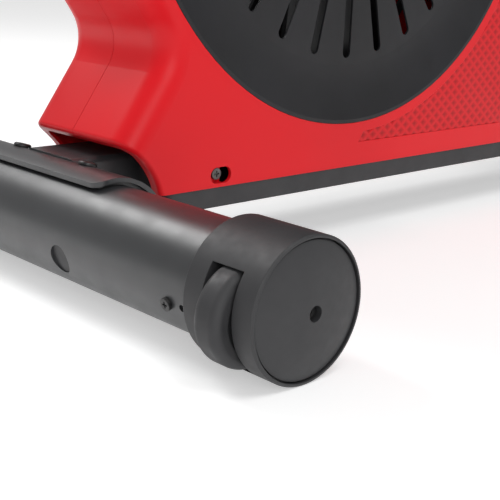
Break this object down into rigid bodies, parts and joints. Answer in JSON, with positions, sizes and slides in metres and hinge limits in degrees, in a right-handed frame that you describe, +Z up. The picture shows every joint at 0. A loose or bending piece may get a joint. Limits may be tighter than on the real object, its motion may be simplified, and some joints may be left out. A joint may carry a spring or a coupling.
{
  "type": "air bike",
  "caption": "Stationary fan bike with swinging handle arms, a split shroud, a belt-driven fan, an adjustable seat and transport wheels in the front feet.",
  "frame": {"origin": "on the floor, below the centre of the whole bike", "axes": "+Z up; -Y is the front of the bike, where the transport wheels are; +X is the rider's left"},
  "size_m": [0.5474, 1.2264, 1.2346],
  "materials": {
    "frame_black": "satin black powder coat",
    "black_plastic": "fine-grained moulded",
    "skirt_plastic": "matt moulded",
    "wheel_plastic": "hard, slightly soft tread",
    "shroud_red": "satin moulded red",
    "black_steel": "black oxide",
    "zinc": "zinc plated",
    "chrome": "polished",
    "bearing_steel": "ground",
    "alloy": "machined",
    "fan_black": "satin black",
    "belt_rubber": "ribbed",
    "grip_rubber": "foamed",
    "seat_cover": "grained",
    "lens_clear": "clear, dark display behind",
    "button_rubber": "soft"
  },
  "bodies": {
    "frame": {"arm_axle": "chrome", "bearings": "bearing_steel", "cap_covers": "black_plastic", "cap_screws": "black_steel", "console_bracket": "frame_black", "crank_bracket": "frame_black", "drive_belt": "belt_rubber", "fan_guard_left": "black_plastic", "fan_guard_right": "black_plastic", "fan_plate_left": "frame_black", "fan_plate_right": "frame_black", "foot_peg_left": "black_plastic", "foot_peg_right": "black_plastic", "front_cap_left": "black_plastic", "front_cap_right": "black_plastic", "front_post": "frame_black", "front_stabiliser_tube": "frame_black", "hole_plugs": "black_plastic", "lower_skirt": "skirt_plastic", "main_beam": "frame_black", "rear_caps": "black_plastic", "rear_stabiliser_tube": "frame_black", "saddle_bolts": "black_steel", "saddle_plate": "frame_black", "seat_tube": "frame_black", "shroud_left": "shroud_red", "shroud_right": "shroud_red", "shroud_screws": "zinc", "wheel_pins": "zinc"},
    "fan": {"fan_shaft": "chrome", "fan_wheel": "fan_black", "fan_pulley": "alloy"},
    "crank": {"crank_spindle": "chrome", "crank_pulley": "alloy", "crank_arm_left": "black_steel", "crank_arm_right": "black_steel", "pedal_spindles": "chrome"},
    "pedal_left": {"pedal_left": "black_plastic"},
    "pedal_right": {"pedal_right": "black_plastic"},
    "wheel_left": {"transport_wheel_left": "wheel_plastic"},
    "wheel_right": {"transport_wheel_right": "wheel_plastic"},
    "arm_left": {"handle_arm_left": "frame_black", "grip_left": "grip_rubber"},
    "arm_right": {"handle_arm_right": "frame_black", "grip_right": "grip_rubber"},
    "rod_left": {"push_rod_left": "frame_black"},
    "rod_right": {"push_rod_right": "frame_black"},
    "seat_stem": {"seat_post": "chrome"},
    "seat": {"seat_carriage": "frame_black", "seat_shell": "black_plastic", "seat_pad": "seat_cover"},
    "height_knob": {"height_knob": "black_plastic"},
    "slide_knob": {"slide_knob": "black_plastic"},
    "console": {"console_housing": "black_plastic", "console_lens": "lens_clear"},
    "button_reset": {"button_reset": "button_rubber"},
    "button_mode": {"button_mode": "button_rubber"},
    "button_set": {"button_set": "button_rubber"},
    "foot_left": {"levelling_foot_left": "zinc"},
    "foot_right": {"levelling_foot_right": "zinc"}
  },
  "joints": [
    {"name": "crank_spin", "type": "hinge", "parent": "frame", "child": "crank", "pos_m": [0, 0.1202, 0.345], "axis": [1, 0, 0], "continuous": true},
    {"name": "fan_spin", "type": "hinge", "parent": "frame", "child": "fan", "pos_m": [0, -0.2998, 0.329], "axis": [1, 0, 0], "continuous": true},
    {"name": "pedal_spin_left", "type": "hinge", "parent": "crank", "child": "pedal_left", "pos_m": [0.16, 0.21011, 0.48928], "axis": [1, 0, 0], "continuous": true},
    {"name": "pedal_spin_right", "type": "hinge", "parent": "crank", "child": "pedal_right", "pos_m": [-0.16, 0.03029, 0.20072], "axis": [1, 0, 0], "continuous": true},
    {"name": "wheel_spin_left", "type": "hinge", "parent": "frame", "child": "wheel_left", "pos_m": [0.241, -0.5834, 0.039], "axis": [1, 0, 0], "continuous": true},
    {"name": "wheel_spin_right", "type": "hinge", "parent": "frame", "child": "wheel_right", "pos_m": [-0.241, -0.5834, 0.039], "axis": [1, 0, 0], "continuous": true},
    {"name": "arm_swing_left", "type": "hinge", "parent": "frame", "child": "arm_left", "pos_m": [0.08, -0.05726, 0.65], "axis": [1, 0, 0], "range_deg": [-15, 15]},
    {"name": "arm_swing_right", "type": "hinge", "parent": "frame", "child": "arm_right", "pos_m": [-0.08, -0.05726, 0.65], "axis": [1, 0, 0], "range_deg": [-15, 15]},
    {"name": "rod_pivot_left", "type": "hinge", "parent": "arm_left", "child": "rod_left", "pos_m": [0.072, -0.14452, 0.50997], "axis": [1, 0, 0], "range_deg": [-16, 16]},
    {"name": "rod_pivot_right", "type": "hinge", "parent": "arm_right", "child": "rod_right", "pos_m": [-0.072, -0.14452, 0.50997], "axis": [1, 0, 0], "range_deg": [-16, 16]},
    {"name": "seat_height", "type": "slide", "parent": "frame", "child": "seat_stem", "axis": [0, 0.2079, 0.9781], "range_m": [-0.06, 0.12]},
    {"name": "seat_fore_aft", "type": "slide", "parent": "seat_stem", "child": "seat", "axis": [0, 1, 0], "range_m": [-0.04, 0.04]},
    {"name": "height_knob_pull", "type": "slide", "parent": "frame", "child": "height_knob", "axis": [0, 0.9781, -0.2079], "range_m": [0, 0.008], "stiffness_N_per_m": 800},
    {"name": "slide_knob_turn", "type": "hinge", "parent": "seat", "child": "slide_knob", "pos_m": [0.04, 0.47029, 0.86017], "axis": [1, 0, 0], "range_deg": [-180, 180]},
    {"name": "console_tilt", "type": "hinge", "parent": "frame", "child": "console", "pos_m": [0, -0.0898, 1.166], "axis": [1, 0, 0], "range_deg": [-15, 15]},
    {"name": "button_reset_press", "type": "slide", "parent": "console", "child": "button_reset", "axis": [0, -0.5, -0.866], "range_m": [0, 0.0015], "stiffness_N_per_m": 400},
    {"name": "button_mode_press", "type": "slide", "parent": "console", "child": "button_mode", "axis": [0, -0.5, -0.866], "range_m": [0, 0.0015], "stiffness_N_per_m": 400},
    {"name": "button_set_press", "type": "slide", "parent": "console", "child": "button_set", "axis": [0, -0.5, -0.866], "range_m": [0, 0.0015], "stiffness_N_per_m": 400},
    {"name": "foot_adjust_left", "type": "slide", "parent": "frame", "child": "foot_left", "axis": [0, 0, -1], "range_m": [0, 0.012]},
    {"name": "foot_adjust_right", "type": "slide", "parent": "frame", "child": "foot_right", "axis": [0, 0, -1], "range_m": [0, 0.012]}
  ],
  "couplings": [
    {"joint": "fan_spin", "follows": "crank_spin", "ratio": 4},
    {"joint": "arm_swing_right", "follows": "arm_swing_left", "ratio": -1},
    {"joint": "rod_pivot_left", "follows": "arm_swing_left", "ratio": -1},
    {"joint": "rod_pivot_right", "follows": "arm_swing_left", "ratio": 1}
  ]
}
